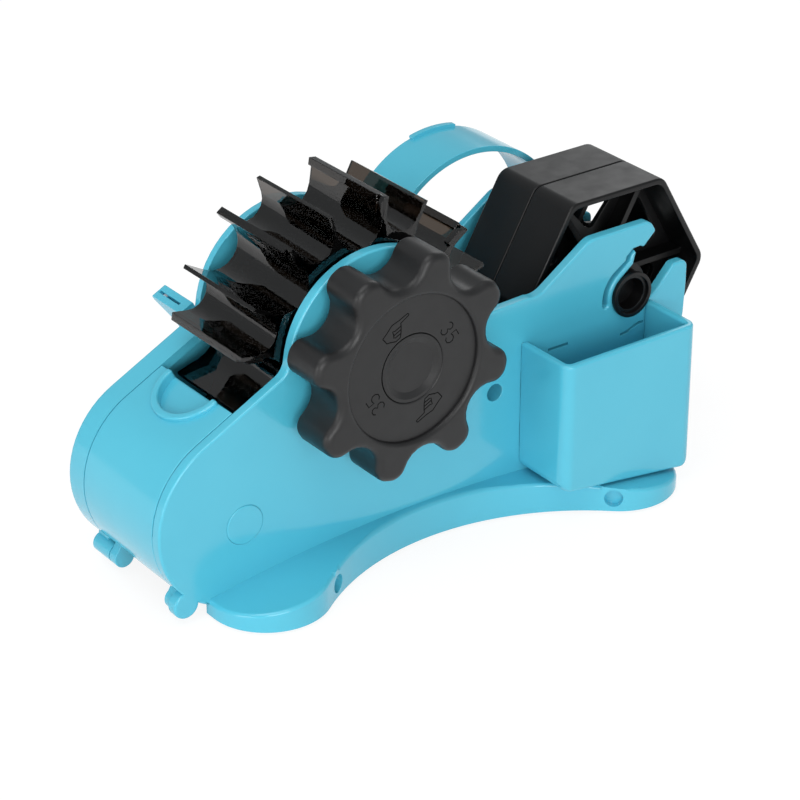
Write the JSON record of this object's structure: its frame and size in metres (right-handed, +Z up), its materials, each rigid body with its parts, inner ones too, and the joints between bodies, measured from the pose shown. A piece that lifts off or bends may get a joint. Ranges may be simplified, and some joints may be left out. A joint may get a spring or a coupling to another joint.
{
  "type": "multi-roll tape dispenser",
  "caption": "Desk tape dispenser with a rotary strip cutter wheel, black knob, six-sided roll drums in a snap cradle, spare-roll ring and pen box.",
  "frame": {"origin": "on the table, under the centre of the whole object", "axes": "+X from the round nose to the roll cradle, +Y from the knob side to the spare-roll side, +Z up; the wheel axle is parallel to Y"},
  "size_m": [0.2152, 0.1026, 0.1174],
  "materials": {
    "blue_shell": "glossy moulded ABS, sky blue",
    "black_soft": "satin moulded plastic, black",
    "smoke_wheel": "glossy smoke-black styrene, slightly see-through at the fins",
    "steel": "bright steel of screws, pins, springs and the blade",
    "rubber": "dark grey rubber pads"
  },
  "bodies": {
    "stand": {"near_shell": "blue_shell", "far_shell": "blue_shell", "side_ring": "blue_shell", "ring_screws": "steel", "base_plate": "blue_shell", "rubber_feet": "rubber", "base_screws": "steel", "shell_screws": "steel", "near_bush": "black_soft", "far_bush": "black_soft", "arm_pivot_pin": "steel", "pivot_cap": "blue_shell", "index_spring": "steel", "arm_spring": "steel"},
    "wheel": {"paddle_wheel": "smoke_wheel", "wheel_shaft": "steel", "index_wheel": "black_soft", "knob": "black_soft", "knob_screw": "steel", "knob_cap": "black_soft"},
    "spindle": {"drum_spindle": "black_soft", "near_end_cap": "black_soft", "far_end_cap": "black_soft"},
    "near_roll": {"near_drum": "black_soft"},
    "far_roll": {"far_drum": "black_soft"},
    "cover": {"front_cover": "blue_shell"},
    "arm": {"cutter_arm": "black_soft", "cutter_blade": "steel", "blade_screws": "steel"},
    "pens": {"pen_box": "blue_shell"}
  },
  "joints": [
    {"name": "wheel_turn", "type": "hinge", "parent": "stand", "child": "wheel", "pos_m": [-0.02941, 0.0013, 0.072], "axis": [0, 1, 0], "continuous": true, "deforming": ["index_spring"]},
    {"name": "spindle_lift", "type": "slide", "parent": "stand", "child": "spindle", "axis": [0.7826, 0, 0.6225], "range_m": [0, 0.06]},
    {"name": "near_roll_turn", "type": "hinge", "parent": "spindle", "child": "near_roll", "pos_m": [0.07049, -0.00535, 0.061], "axis": [0, 1, 0], "continuous": true},
    {"name": "far_roll_turn", "type": "hinge", "parent": "spindle", "child": "far_roll", "pos_m": [0.07049, 0.01295, 0.061], "axis": [0, 1, 0], "continuous": true},
    {"name": "cover_hinge", "type": "hinge", "parent": "stand", "child": "cover", "pos_m": [-0.09891, 0.0013, 0.0066], "axis": [0, -1, 0], "range_deg": [0, 75]},
    {"name": "arm_swing", "type": "hinge", "parent": "stand", "child": "arm", "pos_m": [-0.07771, 0.0013, 0.0272], "axis": [0, 1, 0], "range_deg": [0, 10], "stiffness_Nm_per_rad": 0.02, "springref_deg": -11.46},
    {"name": "pen_box_pull", "type": "slide", "parent": "stand", "child": "pens", "axis": [0, -1, 0], "range_m": [0, 0.03]}
  ]
}
